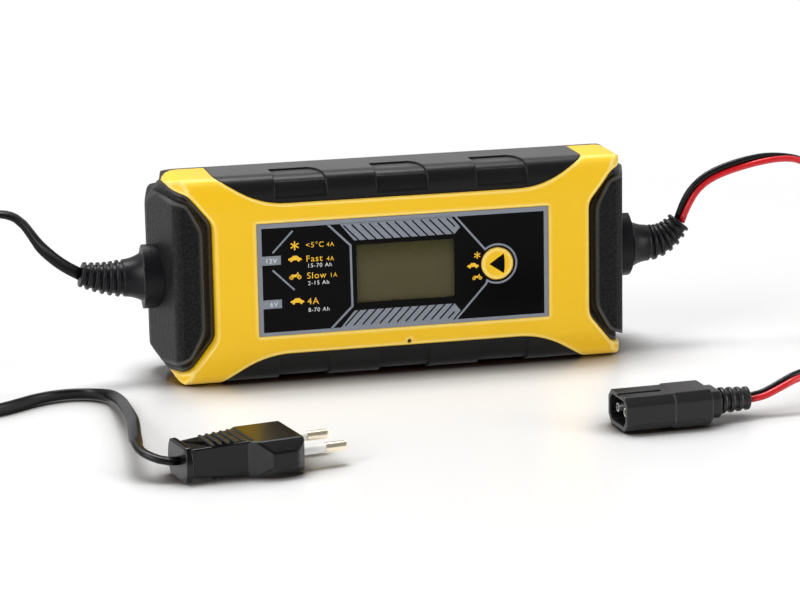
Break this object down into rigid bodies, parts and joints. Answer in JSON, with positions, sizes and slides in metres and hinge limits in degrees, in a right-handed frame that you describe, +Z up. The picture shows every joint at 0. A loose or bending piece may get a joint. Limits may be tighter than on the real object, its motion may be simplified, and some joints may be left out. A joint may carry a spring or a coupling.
{
  "type": "car battery charger",
  "caption": "Handheld smart battery charger with rubber bumpers, a display, one button, a mains lead with a flat two-pin plug and a battery lead with a two-pole connector.",
  "frame": {"origin": "middle of the case's underside, on the surface that it stands on", "axes": "+X along the case towards the battery lead, -Y out of the front face, +Z up"},
  "size_m": [0.545, 0.1914, 0.089],
  "materials": {
    "yellow_abs": "moulded, satin gloss",
    "rear_abs": "moulded, fine texture",
    "bumper_rubber": "moulded, satin",
    "cap_rubber": "moulded, fine texture",
    "gasket_silicone": "matt",
    "screw_steel": "zinc plated",
    "label_film": "printed film, semi-gloss",
    "clear_pane": "clear, polished",
    "lcd_glass": "grey-green, dull",
    "diffuser_white": "white, matt",
    "circuit_board": "solder resist",
    "ribbon": "flat cable",
    "switch_black": "moulded",
    "lamp_red": "tinted, clear",
    "ferrite": "sintered",
    "copper_winding": "enamelled wire",
    "capacitor_sleeve": "shrink sleeve",
    "film_box": "moulded box",
    "chip_epoxy": "moulded epoxy",
    "sink_aluminium": "extruded",
    "fuse_glass": "clear tube",
    "disc_lacquer": "dipped lacquer",
    "gland_pvc": "moulded, satin",
    "mains_cord_pvc": "extruded, semi-gloss",
    "battery_lead_pvc": "extruded, semi-gloss",
    "tie_plastic": "moulded",
    "plug_pvc": "moulded, semi-gloss",
    "pin_nickel": "nickel plated",
    "collar_white": "moulded",
    "connector_pa": "moulded, satin",
    "contact_metal": "tin plated"
  },
  "bodies": {
    "case": {"front_shell": "yellow_abs", "rear_shell": "rear_abs", "top_bumper": "bumper_rubber", "bottom_bumper": "bumper_rubber", "left_end_cap": "cap_rubber", "right_end_cap": "cap_rubber", "case_gasket": "gasket_silicone", "case_screws": "screw_steel", "display_screws": "screw_steel", "board_screws": "screw_steel", "label_panel": "label_film", "display_window": "clear_pane", "display_glass": "lcd_glass", "display_backlight": "diffuser_white", "display_board": "circuit_board", "main_board": "circuit_board", "board_link": "ribbon", "button_switch": "switch_black", "cord_clamps": "switch_black", "status_led": "lamp_red", "transformer_core": "ferrite", "filter_choke_core": "ferrite", "transformer_winding": "copper_winding", "filter_choke_winding": "copper_winding", "output_choke": "copper_winding", "mains_capacitor": "capacitor_sleeve", "output_capacitors": "capacitor_sleeve", "suppression_capacitor": "film_box", "bridge_rectifier": "chip_epoxy", "power_transistors": "chip_epoxy", "control_chips": "chip_epoxy", "heat_sinks": "sink_aluminium", "mains_fuse": "fuse_glass", "surge_disc": "disc_lacquer", "mains_gland": "gland_pvc", "battery_gland": "gland_pvc", "mains_cord_rise": "mains_cord_pvc", "mains_cord_coil": "mains_cord_pvc", "mains_cord_run": "mains_cord_pvc", "mains_tail": "mains_cord_pvc", "battery_lead_rise": "battery_lead_pvc", "battery_lead_coil": "battery_lead_pvc", "battery_lead_run": "battery_lead_pvc", "battery_tail": "battery_lead_pvc", "mains_cord_tie": "tie_plastic", "battery_lead_tie": "tie_plastic", "mains_plug": "plug_pvc", "plug_pins": "pin_nickel", "pin_collars": "collar_white", "battery_connector": "connector_pa", "connector_contacts": "contact_metal"},
    "button": {"mode_button": "yellow_abs", "switch_plunger": "switch_black"}
  },
  "joints": [
    {"name": "button_press", "type": "slide", "parent": "case", "child": "button", "axis": [0, 1, 0], "range_m": [0, 0.0005], "stiffness_N_per_m": 1000}
  ]
}
